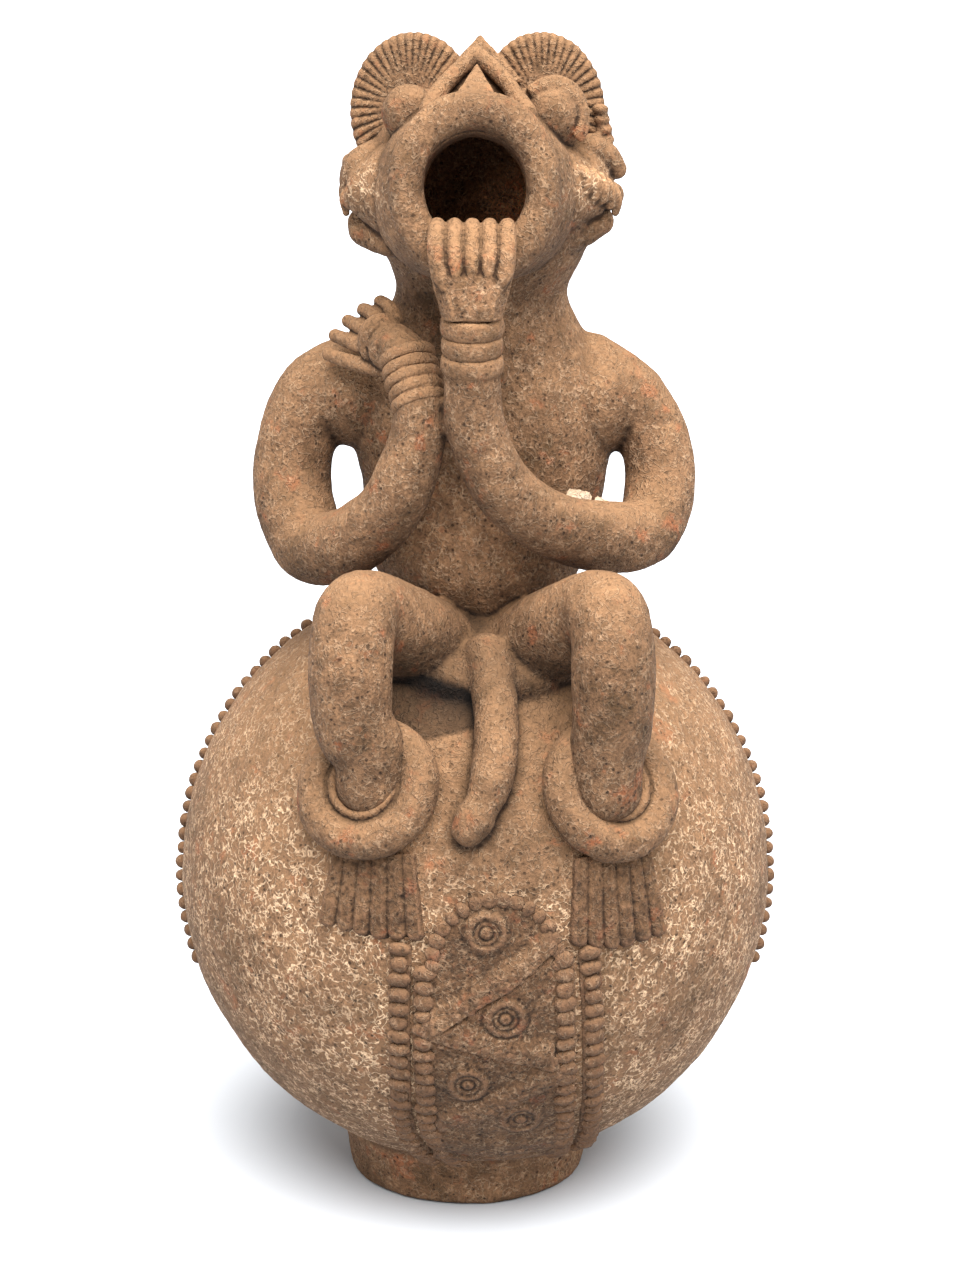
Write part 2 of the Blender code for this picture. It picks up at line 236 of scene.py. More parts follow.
def model(name, settings, *forms, opened=False):
    # one object from functions that add to a shape, fused into a skin and opened by the room inside
    shape = bmesh.new()
    for form in forms:
        form(shape)
    made = newObject(name, shape)
    fuseClay(made, settings)
    if opened:
        combine(made, hollow, "DIFFERENCE")
    return settle(made)


def slab(low, high):
    # a block between two heights, for cutting the clay into pieces
    shape = bmesh.new()
    size = Matrix.Diagonal((0.6, 0.6, high - low, 1.0))
    bmesh.ops.create_cube(shape, size=1.0, matrix=Matrix.Translation((0.0, 0.0, (low + high) / 2)) @ size)
    return newObject("slab", shape)


def readVectors(mesh, what):
    rows = np.empty(len(mesh.vertices) * 3, np.float32)
    mesh.vertices.foreach_get(what, rows)
    return rows.reshape(-1, 3).astype(float)


def readEdges(mesh):
    ends = np.empty(len(mesh.edges) * 2, int)
    mesh.edges.foreach_get("vertices", ends)
    return ends.reshape(-1, 2)


def cutOut(source, name, low, high):
    # the part of source between two heights, closed by hard-edged faces where it was cut
    made = linkObject(name, source.data.copy())
    helper = slab(low, high)
    combine(made, helper, "INTERSECT")
    settle(made)
    bpy.data.objects.remove(helper, do_unlink=True)
    heights = readVectors(made.data, "co")[:, 2]
    onCut = np.minimum(abs(heights - low), abs(heights - high)) < 1e-5
    hard = onCut[readEdges(made.data)].all(axis=1)
    made.data.attributes.new("sharp_edge", "BOOLEAN", "EDGE").data.foreach_set("value", hard)
    return made


def markBend(mesh, reach):
    # "bend" is above 0 in hollows and below 0 on ridges, in units of 1 / 10 mm
    points = readVectors(mesh, "co")
    normals = readVectors(mesh, "normal")
    a, b = readEdges(mesh).T
    count = len(points)

    def gather(atEnds, atStarts):
        # what each vertex receives over its edges
        total = np.bincount(a, weights=atEnds, minlength=count)
        return total + np.bincount(b, weights=atStarts, minlength=count)

    neighbours = np.maximum(np.bincount(a, minlength=count) + np.bincount(b, minlength=count), 1)
    step = np.linalg.norm(points[a] - points[b], axis=1) ** 2
    size = np.maximum(gather(step, step) / neighbours, 1e-9)
    middle = np.stack([gather(values[b], values[a]) / neighbours for values in points.T], axis=1)
    bend = np.clip(((middle - points) * normals).sum(axis=1) * 4 / size * 0.01, -6, 6)
    for _ in range(reach):
        bend = 0.5 * bend + 0.5 * gather(bend[b], bend[a]) / neighbours
    writeMark(mesh, "bend", bend)


def softStep(values, low, high):
    t = np.clip((values - low) / (high - low), 0.0, 1.0)
    return t * t * (3 - 2 * t)


def writeMark(mesh, name, values):
    mark = mesh.attributes.new(name, "FLOAT", "POINT")
    mark.data.foreach_set("value", values.astype(np.float32))


# (x, y, z, reach, depth): spots of painted shade above 0 and of painted light below 0
shadeAndLightSpots = (
    (-0.064, -0.155, 0.318, 0.032, 0.8), (0.078, -0.155, 0.32, 0.036, 0.75),
    (0.002, -0.095, 0.694, 0.02, 0.55), (0.048, -0.095, 0.645, 0.02, 0.7),
    (-0.05, -0.095, 0.65, 0.016, 0.45), (0.02, -0.095, 0.598, 0.02, 0.45),
    (0.066, -0.055, 0.64, 0.02, -1.0), (-0.066, -0.05, 0.65, 0.014, -0.5),
    (-0.001, -0.122, 0.597, 0.024, -1.3), (0.006, -0.165, 0.3, 0.024, 0.55),
    (0.01, -0.178, 0.262, 0.034, 0.5), (-0.061, -0.17, 0.262, 0.026, 0.3),
    (0.112, -0.15, 0.262, 0.026, 0.05), (0.004, -0.055, 0.43, 0.036, -0.8),
    (0.002, -0.01, 0.49, 0.06, -0.35), (-0.046, -0.02, 0.7, 0.034, 0.55),
    (0.056, -0.02, 0.7, 0.026, 0.25), (0.055, -0.08, 0.436, 0.02, 0.35),
    (0.034, -0.05, 0.58, 0.022, 0.3), (0.02, -0.18, 0.236, 0.034, 0.3),
    (0.12, -0.02, 0.46, 0.03, -0.35), (0.075, -0.01, 0.53, 0.03, -0.4),
    (0.06, -0.06, 0.515, 0.014, -0.6), (0.008, -0.112, 0.36, 0.03, 1.1),
    (-0.028, -0.108, 0.356, 0.018, 0.6), (0.04, -0.108, 0.356, 0.018, 0.5),
)
headMiddle = np.array((0.003, -0.01, 0.625))
# strengths of the painted shadow under the thigh, of the lighter ring foot and of the painted light inside
# the mouth
shadeAndLightSettings = {"thighShadow": 1.45, "foot": -0.6, "mouthLight": -9.0}
# grit on the wall, the foot and the figure, and what each other place adds to it
speckleSettings = {"wall": 0.72, "besidePanel": 0.45, "low": 0.2, "lap": -0.46, "high": -0.15, "foot": 0.16,
                   "figure": 0.2, "cheeks": 0.45}


def markClay(mesh, speckle=None):
    # "speckle" is how thickly pale grit shows; the other mark darkens the surface above 0, as painted
    # shade, and lightens it below 0, mostly as painted light
    points = readVectors(mesh, "co")
    normals = readVectors(mesh, "normal")
    x, y, z = points.T
    front = y < 0
    reach = np.linalg.norm(points - np.array(pot["centre"]), axis=1)
    if speckle is None:
        lifted = softStep(reach, pot["radius"] + 0.002, pot["radius"] + 0.006)
        onWall = (1 - lifted) * (1 - softStep(z, 0.355, 0.375))
        wall = np.full(len(x), speckleSettings["wall"])
        beside = np.exp(-((x + 0.058) / 0.016) ** 2) + 0.6 * np.exp(-((x - 0.088) / 0.014) ** 2)
        beside = speckleSettings["besidePanel"] * beside
        wall += beside * softStep(z, 0.06, 0.1) * (1 - softStep(z, 0.2, 0.23)) * front
        wall += speckleSettings["low"] * (1 - softStep(z, 0.08, 0.14))
        # the clay lapped over the pot's top between the legs is nearly clean
        lap = softStep(z, 0.235, 0.262) * (1 - softStep(abs(x - 0.006), 0.045, 0.075)) * (y < 0.03)
        wall += speckleSettings["lap"] * lap
        wall += speckleSettings["high"] * softStep(z, 0.27, 0.34)
        foot = 1 - softStep(z, 0.038, 0.046)
        wall = wall * (1 - foot) + speckleSettings["foot"] * foot
        speckle = wall * onWall + speckleSettings["figure"] * (1 - onWall)
        cheeks = np.exp(-((abs(x) - 0.066) / 0.016) ** 2 - ((z - 0.64) / 0.016) ** 2)
        speckle += speckleSettings["cheeks"] * cheeks * front
    writeMark(mesh, "speckle", np.clip(np.full(len(x), speckle), 0, 1))

    # painted shadow under the left thigh, on the wall between the shins, with a crisp edge along a sloping
    # line
    line = 0.319 + 0.24 * (x + 0.0441)
    between = softStep(x, -0.07, -0.055) * (1 - softStep(x, 0.004, 0.014))
    low = (1 - softStep(reach, pot["radius"] + 0.006, pot["radius"] + 0.01)) * (y < -0.05)
    paintedShadeAndLight = shadeAndLightSettings["thighShadow"] * low * between * softStep(z, line, line + 0.003)
    # the ring foot is lighter
    paintedShadeAndLight = np.where(z < 0.06, shadeAndLightSettings["foot"] * (1 - softStep(z, 0.036, 0.056)), paintedShadeAndLight)
    for *place, size, depth in shadeAndLightSpots:
        paintedShadeAndLight += depth * np.exp(-((points - np.array(place)) ** 2).sum(axis=1) / size ** 2)
    # painted light makes the far wall seen through the mouth a warm brown at its lower right; its upper
    # left gets none and stays black
    fromMiddle = points - headMiddle
    inner = (fromMiddle * normals).sum(axis=1) < 0
    inner &= np.linalg.norm(fromMiddle, axis=1) < 0.075
    mouthLit = shadeAndLightSettings["mouthLight"] * softStep(x * 0.8 - (z - 0.6), -0.03, 0.02)
    paintedShadeAndLight = np.where(inner, mouthLit, paintedShadeAndLight)
    writeMark(mesh, "paintedShadeAndLight", paintedShadeAndLight)


# fired clay
def linearColour(hexText):
    parts = [int(hexText[i:i + 2], 16) / 255 for i in (1, 3, 5)]
    return (*[c / 12.92 if c <= 0.04045 else ((c + 0.055) / 1.055) ** 2.4 for c in parts], 1.0)


def addNode(tree, kind, sockets=None, **properties):
    node = tree.nodes.new(kind)
    for name, value in properties.items():
        setattr(node, name, value)
    for name, value in (sockets or {}).items():
        if isinstance(value, bpy.types.NodeSocket):
            tree.links.new(value, node.inputs[name])
        else:
            node.inputs[name].default_value = value
    return node


def addOutput(tree, kind, sockets=None, **properties):
    return addNode(tree, kind, sockets, **properties).outputs[0]


def makeClay(name, look):
    # low-fired gritty terracotta: matt, never shiny, pale grit and straw marks in a brown body, with earth
    # and painted shade in the hollows
    clay = bpy.data.materials.new(name)
    clay.use_nodes = True
    tree = clay.node_tree
    tree.nodes.clear()
    place = addNode(tree, "ShaderNodeTexCoord").outputs["Object"]
    bend, speckle, paintedShadeAndLight = [addNode(tree, "ShaderNodeAttribute", attribute_name=mark).outputs["Fac"]
                            for mark in ("bend", "speckle", "paintedShadeAndLight")]

    def noise(scale, detail, roughness=0.5):
        # scale is 1 / feature size in metres
        sockets = {"Vector": place, "Scale": scale, "Detail": detail, "Roughness": roughness}
        return addNode(tree, "ShaderNodeTexNoise", sockets).outputs

    def seededNoise(seed, scale, detail, roughness=0.5, where=place):
        sockets = {"Vector": where, "W": seed, "Scale": scale, "Detail": detail, "Roughness": roughness}
        return addOutput(tree, "ShaderNodeTexNoise", sockets, noise_dimensions="4D")

    def number(operation, *values, **options):
        return addOutput(tree, "ShaderNodeMath", dict(enumerate(values)), operation=operation, **options)

    def vector(operation, *values):
        return addOutput(tree, "ShaderNodeVectorMath", dict(enumerate(values)), operation=operation)

    def scaled(tint, factor):
        return addOutput(tree, "ShaderNodeVectorMath", {0: tint, "Scale": factor}, operation="SCALE")

    def ramp(value, low, high, top=1.0, bottom=0.0, clamp=True):
        sockets = {"Value": value, "From Min": low, "From Max": high, "To Min": bottom, "To Max": top}
        return addOutput(tree, "ShaderNodeMapRange", sockets, clamp=clamp)

    def mixed(tint, key, factor):
        sockets = {"Factor": factor, 6: tint, 7: linearColour(look[key])}
        return addNode(tree, "ShaderNodeMix", sockets, data_type="RGBA").outputs[2]

    cloud = noise(1 / look["cloudSize"], 3.0, 0.6)["Fac"]
    blotch = noise(1 / look["blotchSize"], 4.0, 0.65)["Fac"]
    grit = noise(1 / look["gritSize"], 3.0, 0.7)["Fac"]
    tone = number("MULTIPLY_ADD", blotch, 0.55, number("MULTIPLY", cloud, 0.45))
    body = addNode(tree, "ShaderNodeValToRGB", {"Fac": ramp(tone, 0.34, 0.66)})
    stops = body.color_ramp.elements
    stops[0].color = linearColour(look["dark"])
    stops[1].color = linearColour(look["light"])
    stops.new(0.5).color = linearColour(look["mid"])
    colour = body.outputs["Color"]

    # orange patches where the fire reached the iron in the clay
    ember = seededNoise(4.0, 1 / look["emberSize"], 3.0, 0.7)
    ember = ramp(ember, look["emberFrom"], look["emberFrom"] + 0.1, look["ember"])
    colour = mixed(colour, "emberColour", ember)

    # curled pale marks of grit and burnt-out straw: the level lines of a noise, broken up by another
    warp = noise(1 / (2.2 * look["markSize"]), 1.0)["Color"]
    warp = vector("MULTIPLY", vector("SUBTRACT", warp, (0.5, 0.5, 0.5)), (look["markSize"],) * 3)
    warped = vector("ADD", place, warp)
    layers = []
    for seed, share in ((1.0, 1.0), (7.0, 0.8)):
        line = seededNoise(seed, 1 / look["markSize"], 1.5, where=warped)
        line = number("ABSOLUTE", number("SUBTRACT", line, 0.5))
        line = ramp(line, look["markWidth"], 0.012, share)
        breaks = seededNoise(seed + 2, 0.8 / look["markSize"], 1.0)
        layers.append(number("MULTIPLY", line, ramp(breaks, 0.44, 0.54)))
    marks = number("MAXIMUM", *layers)
    shown = number("MULTIPLY", marks, speckle)
    shown = number("MULTIPLY", shown, ramp(cloud, 0.35, 0.6, 1.25, 0.55), use_clamp=True)
    # the whole wall is a little paler where the grit is thick
    colour = mixed(colour, "paleColour", number("MULTIPLY", speckle, look["paleWall"]))
    colour = mixed(colour, "markColour", shown)

    # dark pits left by burnt-out grains
    spots = {"Vector": warped, "Scale": 1 / look["pitSpacing"]}
    spots = addNode(tree, "ShaderNodeTexVoronoi", spots).outputs
    spotSize = addOutput(tree, "ShaderNodeSeparateColor", {"Color": spots["Color"]})
    spotSize = ramp(spotSize, 0.35, 1.0, 0.34)
    ragged = number("MULTIPLY_ADD", number("SUBTRACT", grit, 0.5), 1.2, spotSize)
    pits = ramp(number("SUBTRACT", ragged, spots["Distance"]), -0.05, 0.16)
    colour = mixed(colour, "pitColour", number("MULTIPLY", pits, look["pit"]))

    # fine grain light and dark
    colour = scaled(colour, ramp(grit, 0.3, 0.7, 1 + look["grain"], 1 - look["grain"]))

    # earth and painted shade in the hollows, pale rubbed ridges, dust and painted light on what faces up,
    # painted shade on what faces down
    colour = mixed(colour, "earthAndShadeColour", ramp(bend, look["earthAndShadeFrom"], look["earthAndShadeTo"], look["earthAndShade"]))
    colour = mixed(colour, "rubbedColour", ramp(bend, -0.9, -2.6, look["rubbed"]))
    facing = addNode(tree, "ShaderNodeNewGeometry").outputs["Normal"]
    up = addNode(tree, "ShaderNodeSeparateXYZ", {0: facing}).outputs["Z"]
    # dust and painted light on what faces up
    colour = mixed(colour, "dustAndTopLightColour", ramp(up, 0.15, 0.95, look["dustAndTopLight"]))
    # painted shade on what faces down
    colour = mixed(colour, "earthAndShadeColour", ramp(up, 0.05, -0.85, look["undersideShade"]))

    # painted shade darkens all of it, dust and all; painted light makes places brighter
    colour = scaled(colour, ramp(paintedShadeAndLight, 0.0, 1.0, look["shadeFactor"], 1.0, clamp=False))

    # heights in metres
    relief = number("MULTIPLY", grit, look["gritHeight"])
    for layer, height in ((blotch, look["blotchHeight"]), (marks, look["markHeight"]),
                          (pits, -look["pitDepth"])):
        relief = number("MULTIPLY_ADD", layer, height, relief)
    bump = addOutput(tree, "ShaderNodeBump", {"Height": relief, "Strength": 1.0, "Distance": 1.0})
    shader = addOutput(tree, "ShaderNodeBsdfPrincipled", {
        "Base Color": colour, "Normal": bump, "Roughness": look["roughness"], "IOR": 1.5,
        "Specular IOR Level": 0.25,
    })
    addNode(tree, "ShaderNodeOutputMaterial", {"Surface": shader})
    return clay


clayLook = {
    "dark": "#432f1b", "mid": "#6c4f38", "light": "#8c694b",
    "cloudSize": 0.045, "blotchSize": 0.009, "gritSize": 0.0017,
    "emberSize": 0.02, "emberFrom": 0.58, "ember": 0.55, "emberColour": "#94502f",
    "markSize": 0.005, "markWidth": 0.044, "markColour": "#e0bd99",
    "paleWall": 0.26, "paleColour": "#a07c5c",
    "pitSpacing": 0.0032, "pit": 0.85, "pitColour": "#22150b", "grain": 0.5,
    # how dark full painted shade makes the clay
    "shadeFactor": 0.58,
    # earth and painted shade in the hollows
    "earthAndShadeFrom": 0.15, "earthAndShadeTo": 2.2, "earthAndShade": 0.9, "earthAndShadeColour": "#26170c",
    "rubbed": 0.34, "rubbedColour": "#a87e5a",
    # dust and painted light on what faces up; painted shade on what faces down
    "dustAndTopLight": 0.46, "dustAndTopLightColour": "#ba8e66", "undersideShade": 0.5,
    "gritHeight": 0.0015, "blotchHeight": 0.0024, "markHeight": 0.0009, "pitDepth": 0.0009,
    "roughness": 0.95,
}
reliefLook = dict(clayLook, dark="#36261a", mid="#553c28", light="#71543c", earthAndShade=0.75, earthAndShadeTo=3.4,
                  earthAndShadeColour="#1d120b", dustAndTopLight=0.3, blotchHeight=0.0016, ember=0.6, emberColour="#773e26",
                  rubbedColour="#85624a")
flakeLook = dict(clayLook, dark="#b39a7d", mid="#dcc5a8", light="#f0dcc4", earthAndShade=0.3, pit=0.2, ember=0.0,
                 dustAndTopLight=0.1, undersideShade=0.1, grain=0.15)


def claim(made, clay, reach=3, speckle=None):
    # finishes a piece: smooth faces, its clay, its marks, and its place on the body
    mesh = made.data
    mesh.materials.clear()
    mesh.materials.append(clay)
    mesh.polygons.foreach_set("use_smooth", np.ones(len(mesh.polygons), bool))
    if "bend" not in mesh.attributes:
        markBend(mesh, reach)
    markClay(mesh, speckle)
    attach(made, bodyName)
    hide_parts(nodeName)


bodyClay = makeClay("terracottaBody", clayLook)
reliefClay = makeClay("terracottaRelief", reliefLook)
flakeClay = makeClay("limeFlake", flakeLook)
print("clays mixed")

# pot, trunk, arms and legs
bodySettings = {
    "grain": 0.0022,
    "relax": 5,
    "lumps": ((0.032, 0.0022), (0.01, 0.0009), (0.0042, 0.00045)),
    "neckSeam": 0.588,
    "seamLap": 0.0005,
    "bodySeams": (0.19, 0.338),
}


def addPot(shape):
    addBlob(shape, pot["centre"], (pot["radius"],) * 3, fineness=6)
    r = pot["footRadius"]
    high = pot["footHeight"]
    profile = ((pot["footInner"], 0.0), (r - 0.006, 0.0), (r - 0.003, 0.0012), (r - 0.0015, 0.004),
               (r, 0.02), (r + 0.003, high - 0.008), (r + 0.002, high), (pot["footInner"], high))
    skinRings(shape, [[Vector((radius * math.cos(a) + pot["footShift"], radius * math.sin(a), z))
                       for radius, z in profile] for a in turns(128)], closed=True)


trunkSections = (
    (0.004, 0.004, 0.352, 0.052, 0.05), (0.003, -0.004, 0.376, 0.046, 0.053),
    (0.002, -0.004, 0.403, 0.066, 0.061), (0.005, 0.0, 0.448, 0.074, 0.061),
    (0.003, 0.004, 0.49, 0.081, 0.062), (0.002, 0.006, 0.52, 0.079, 0.057),
    (0.002, 0.003, 0.542, 0.064, 0.052), (0.004, 0.0, 0.567, 0.0515, 0.05),
    (0.006, -0.006, 0.59, 0.059, 0.056), (0.004, -0.012, 0.622, 0.071, 0.062),
    (0.002, -0.014, 0.66, 0.062, 0.054), (0.002, -0.014, 0.69, 0.034, 0.032),
)


def addTorso(shape):
    addTrunk(shape, trunkSections)
    addBlob(shape, (0.003, -0.016, 0.406), (0.062, 0.051, 0.036))
    for x, z in ((-0.07, 0.505), (0.07, 0.5)):
        addBlob(shape, (x, 0.002, z), (0.036, 0.034, 0.035))


restingArm = (
    (-0.07, 0.004, 0.514, 0.026), (-0.096, 0.0, 0.503, 0.0248), (-0.1095, -0.006, 0.47, 0.024),
    (-0.1095, -0.018, 0.44, 0.024), (-0.098, -0.04, 0.418, 0.0225), (-0.075, -0.064, 0.427, 0.0215),
    (-0.051, -0.082, 0.451, 0.0195), (-0.036, -0.089, 0.486, 0.0175), (-0.0318, -0.088, 0.516, 0.0152),
    (-0.0385, -0.074, 0.537, 0.0145),
)
raisedArm = (
    (0.068, 0.004, 0.516, 0.025), (0.094, 0.0, 0.501, 0.022), (0.1095, -0.006, 0.474, 0.0215),
    (0.1115, -0.018, 0.446, 0.0215), (0.101, -0.04, 0.427, 0.021), (0.073, -0.062, 0.43, 0.0212),
    (0.043, -0.082, 0.443, 0.0195), (0.016, -0.096, 0.469, 0.0182), (0.001, -0.102, 0.504, 0.0175),
    (-0.0015, -0.106, 0.538, 0.0165), (-0.0015, -0.108, 0.568, 0.0158),
)
# side, knee across, ankle across and height of each ankle ring
ankles = ((-1, -0.071, -0.0605, 0.2975), (1, 0.0795, 0.0765, 0.2945))


def addArms(shape):
    for arm in (restingArm, raisedArm):
        addLimb(shape, arm)


def addLegs(shape):
    for side, knee, ankle, low in ankles:
        addLimb(shape, (
            (side * 0.024 + 0.004, -0.06, 0.352, 0.03), (side * 0.042 + 0.004, -0.084, 0.374, 0.0285),
            (knee * 0.86, -0.111, 0.395, 0.0256), (knee * 0.97, -0.13, 0.3975, 0.0246),
            (knee * 1.01, -0.141, 0.376, 0.0246), (knee, -0.144, 0.34, 0.0236),
            (ankle, -0.146, low + 0.024, 0.0222), (ankle, -0.149, low + 0.006, 0.0208),
        ))
    addBlob(shape, (0.005, -0.062, 0.353), (0.044, 0.042, 0.024))
    addBlob(shape, (0.0055, -0.082, 0.349), (0.052, 0.035, 0.022))
    addLimb(shape, (
        (0.0065, -0.096, 0.366, 0.0135), (0.0105, -0.1128, 0.3554, 0.0132),
        (0.0125, -0.1338, 0.3375, 0.0132), (0.0122, -0.1482, 0.322, 0.0132),
        (0.009, -0.1602, 0.307, 0.0128), (0.0046, -0.1662, 0.2975, 0.0108),
    ))
    addLimb(shape, ((-0.0002, -0.1704, 0.2895, 0.0122), (-0.0034, -0.173, 0.284, 0.0104)))


hollowSettings = {
    "grain": 0.005,
    "relax": 3,
    "lumps": ((0.02, 0.0025),),
    "throat": (-0.055, 0.03),  # how far in and out of the lip the round way in is cut
}


def addRoom(shape):
    # the room inside: pot, trunk, neck, head and the way in through the mouth
    addBlob(shape, pot["centre"], (pot["radius"] - pot["wall"],) * 3, fineness=5)
    addLimb(shape, (
        (0.003, -0.002, 0.345, 0.042), (0.002, -0.002, 0.39, 0.04), (0.004, 0.002, 0.43, 0.048),
        (0.003, 0.004, 0.48, 0.052), (0.003, 0.003, 0.525, 0.046), (0.004, 0.0, 0.565, 0.04),
        (0.003, -0.008, 0.6, 0.044), (0.002, -0.012, 0.632, 0.047),
    ), sides=32)
    skinRings(shape, [[lipFrame @ point for point in ellipse(*mouth["hole"], z, 64)]
                      for z in hollowSettings["throat"]])


lipFrame = facingFrame((0.0, -math.cos(mouth["tilt"]), math.sin(mouth["tilt"])), mouth["centre"])
hollow = model("hollow", hollowSettings, addRoom)
body = model("body", bodySettings, addPot, addTorso, addArms, addLegs, opened=True)
markBend(body.data, 4)
seams = (0.0, *bodySettings["bodySeams"], bodySettings["neckSeam"] + bodySettings["seamLap"])
for name, low, high in zip(("potLower", "potUpper", "figure"), seams, seams[1:]):
    claim(cutOut(body, name, low, high), bodyClay)
bpy.data.objects.remove(body, do_unlink=True)
print("pot and figure modelled")

# head
headSettings = {
    "grain": 0.0013,
    "relax": 2,
    "lumps": ((0.032, 0.0022), (0.01, 0.0009), (0.0035, 0.0005)),
    # depth behind the lip, half width and half height of the snout
    "funnel": ((-0.092, 0.04, 0.044), (-0.06, 0.059, 0.054), (-0.03, 0.0585, 0.0545),
               (-0.01, 0.0505, 0.053), (-0.002, 0.044, 0.046)),
    "lipBulge": 0.01,
    "eyes": ((-0.0379, -0.045, 0.679), (0.0448, -0.045, 0.678)),
    "eyeRadius": 0.0162,
    "lids": ((0.0172, 0.0019), (0.0204, 0.0018)),  # radius and roll
    "earTips": ((-0.0806, -0.03, 0.632), (0.0878, -0.03, 0.63)),
    "knuckles": ((0.0635, -0.056, 0.648), (0.0685, -0.053, 0.6455), (0.0733, -0.049, 0.6425),
                 (0.0778, -0.0445, 0.6385), (0.0815, -0.039, 0.634)),
}


def addLip(shape, around=96, sides=24):
    # a fat rolled lip, thicker above and below than at the sides
    rings = []
    for a in turns(around):
        inner, outer = [math.hypot(rx * math.cos(a), ry * math.sin(a))
                        for rx, ry in (mouth["hole"], mouth["lip"])]
        middle = (inner + outer) / 2
        thick = (outer - inner) / 2
        out = Vector((math.cos(a), math.sin(a), 0.0))
        rings.append([lipFrame @ (out * (middle + thick * math.cos(b))
                                  + Vector((0.0, 0.0, headSettings["lipBulge"] * math.sin(b))))
                      for b in turns(sides)])
    skinRings(shape, rings, closed=True)


def addHead(shape):
    addTrunk(shape, trunkSections[5:])
    addLip(shape)
    skinRings(shape, [[lipFrame @ point for point in ellipse(rx, ry, z, 72)]
                      for z, rx, ry in smoothPath(headSettings["funnel"], 6)])
    # brow ridges meeting in a peak over a flat three-cornered nose, and a second peak behind
    for x, ridgeFoot in ((-0.0165, (-0.026, -0.066, 0.683)), (0.018, (0.03, -0.066, 0.682))):
        addLimb(shape, ((*ridgeFoot, 0.0062), (x, -0.049, 0.6975, 0.0054), (0.001, -0.033, 0.7125, 0.0044)),
                sides=16)
    addWedge(shape, ((-0.015, -0.08, 0.6895), (0.0172, -0.08, 0.6885), (0.0009, -0.045, 0.708),
                     (-0.015, -0.05, 0.678), (0.0172, -0.05, 0.678), (0.0009, -0.03, 0.69)))
    addWedge(shape, ((-0.027, -0.05, 0.685), (0.03, -0.05, 0.684), (0.0012, -0.032, 0.7115),
                     (-0.02, 0.0, 0.68), (0.024, 0.0, 0.68)))
    addWedge(shape, ((-0.023, -0.03, 0.695), (0.029, -0.03, 0.695), (0.0033, -0.0145, 0.7222),
                     (-0.018, 0.012, 0.69), (0.024, 0.012, 0.69), (0.0033, 0.0, 0.714)))
    r = headSettings["eyeRadius"]
    for eye in headSettings["eyes"]:
        addBlob(shape, eye, (r, r, r * 1.05))
    # the lids left round the right-hand eye
    eye = Vector(headSettings["eyes"][1])
    addBlob(shape, eye + Vector((0.001, 0.004, 0.001)), (0.0208, 0.012, 0.0218))
    place = facingFrame((0.1, -1.0, 0.3), eye + Vector((0.0, -0.007, 0.0)))
    for number, (radius, roll) in enumerate(headSettings["lids"]):
        arc = [place @ Vector((radius * math.cos(a), radius * 1.08 * math.sin(a), -0.002 * number))
               for a in (math.radians(-35 + 15 * k) for k in range(12))]
        addLimb(shape, [(*point, roll * (1.0 + 0.25 * (k % 2))) for k, point in enumerate(arc)], sides=10)
    for side, tip in zip((-1, 1), headSettings["earTips"]):
        addEar(shape, side, tip)


def addEar(shape, side, tip):
    # a blunt cone standing out from the cheek, knuckled in front, with a knob above and a flap below
    x, y, z = tip
    addLimb(shape, ((side * 0.042, -0.04, 0.634, 0.029), (side * 0.06, -0.035, 0.633, 0.021),
                    (x - side * 0.013, y, z, 0.013), (x - side * 0.008, y, z - 0.001, 0.0082)))
    addLimb(shape, ((side * 0.05, -0.036, 0.606, 0.012), (side * 0.064, -0.03, 0.6085, 0.01),
                    (x - side * 0.013, -0.028, 0.613, 0.0078)), sides=16)
    addBlob(shape, (side * 0.06, -0.027, 0.638), (0.02, 0.019, 0.022))
    knob = 0.0082 if side > 0 else 0.0062
    addLimb(shape, ((side * 0.058, -0.022, 0.648, 0.013),
                    (x - side * (knob + 0.002), -0.021, 0.6465, knob)), sides=16)
    for kx, ky, kz in headSettings["knuckles"][0 if side > 0 else 2:]:
        kx = kx * abs(x) / headSettings["earTips"][1][0]
        addLimb(shape, ((side * kx, ky + 0.003, kz, 0.0028), (side * (kx + 0.002), ky, kz - 0.006, 0.0034),
                        (side * (kx + 0.001), ky + 0.002, kz - 0.014, 0.0028)), sides=12)
    if side > 0:
        # on this side a lobe above, and small lumps up the edge of the fan
        addLimb(shape, ((0.068, -0.024, 0.654, 0.011), (0.077, -0.022, 0.6495, 0.0092),
                        (0.0836, -0.021, 0.643, 0.006)), sides=14)
        for k in range(4):
            addBlob(shape, (0.077 - 0.001 * k, -0.016, 0.66 + 0.006 * k), (0.0056, 0.0064, 0.0036),
                    fineness=3)


head = model("head", headSettings, addHead, opened=True)
neckCut = bodySettings["neckSeam"] - bodySettings["seamLap"]
claim(cutOut(head, "headAndMouth", neckCut, 0.8), bodyClay, reach=5)
bpy.data.objects.remove(head, do_unlink=True)

fanSettings = {
    "grain": 0.0009,
    "relax": 0,
    "lumps": ((0.01, 0.0008), (0.0035, 0.0004)),
    "middles": ((-1, -0.037), (1, 0.04)),
    "radius": 0.0374,
    "oval": 1.22,
    "height": 0.678,
    "plain": 0.36,  # how far out from the middle the grooves begin
    "seed": 20,
    "uneven": 0.35,
    "flutes": 44,
    "depth": 0.0026,
    "thickness": 0.008,
    "rings": 40,
    "spokes": 416,
}


